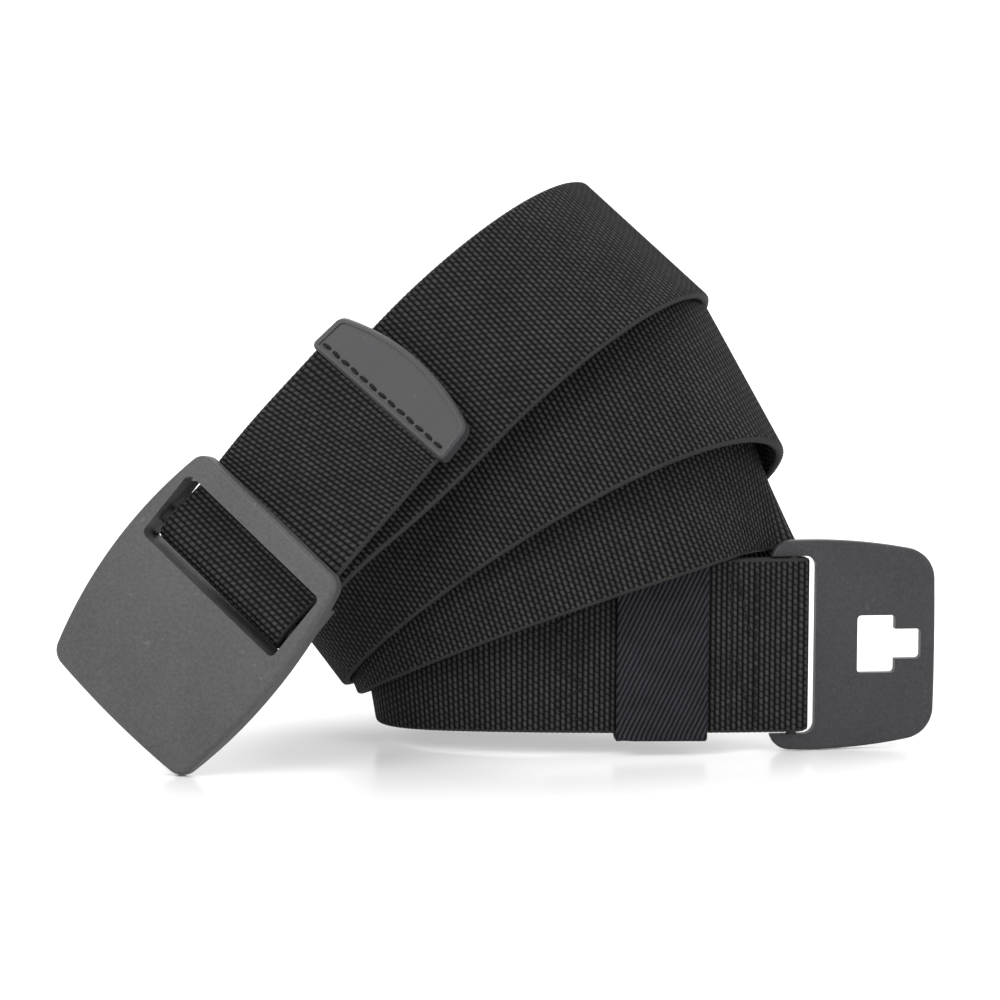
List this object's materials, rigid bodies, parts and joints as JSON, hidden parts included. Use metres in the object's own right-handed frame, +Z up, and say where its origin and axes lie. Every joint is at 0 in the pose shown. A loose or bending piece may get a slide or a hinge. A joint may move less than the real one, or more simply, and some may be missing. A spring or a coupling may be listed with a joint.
{
  "type": "webbing waist belt",
  "caption": "Coiled waist belt of black elastic webbing with a moulded plastic hook buckle, keyhole catch plate, twill keeper and moulded strap tip.",
  "frame": {"origin": "middle of the bounding box in plan, on the surface the belt stands on", "axes": "+X towards the catch plate along the coil's front, +Y to the coil's back, +Z up"},
  "size_m": [0.1914, 0.1022, 0.1219],
  "materials": {
    "webbing": "tight rib weave, matt black",
    "buckle_plastic": "fine spark texture, dark grey",
    "catch_plastic": "fine spark texture, near black",
    "keeper_twill": "steep twill, matt black",
    "thread": "black polyester sewing thread"
  },
  "bodies": {
    "webbing": {"webbing_strap": "webbing", "loop_stitching_outer": "thread", "loop_stitching_inner": "thread"},
    "catch": {"catch_plate": "catch_plastic"},
    "keeper": {"keeper_loop": "keeper_twill"},
    "buckle": {"buckle_plate": "buckle_plastic", "crossbar_pin": "buckle_plastic"},
    "tail": {"strap_tail": "webbing", "strap_tip": "buckle_plastic", "tip_stitching": "thread"}
  },
  "joints": [
    {"name": "catch_plate_swing", "type": "hinge", "parent": "webbing", "child": "catch", "pos_m": [0.06427, -0.01285, 0.02332], "axis": [0.0087, 0.0436, 0.999], "range_deg": [-3, 45]},
    {"name": "keeper_slide", "type": "slide", "parent": "webbing", "child": "keeper", "axis": [0.9971, 0.0749, -0.012], "range_m": [-0.005, 0.0005]},
    {"name": "buckle_tilt", "type": "hinge", "parent": "webbing", "child": "buckle", "pos_m": [-0.05689, -0.03548, 0.0421], "axis": [0.6834, -0.4384, -0.5837], "range_deg": [0, 30]},
    {"name": "tail_slide", "type": "slide", "parent": "webbing", "child": "tail", "axis": [0.6582, 0.0961, 0.7467], "range_m": [-0.003, 0.004], "deforming": ["strap_tail"]}
  ]
}
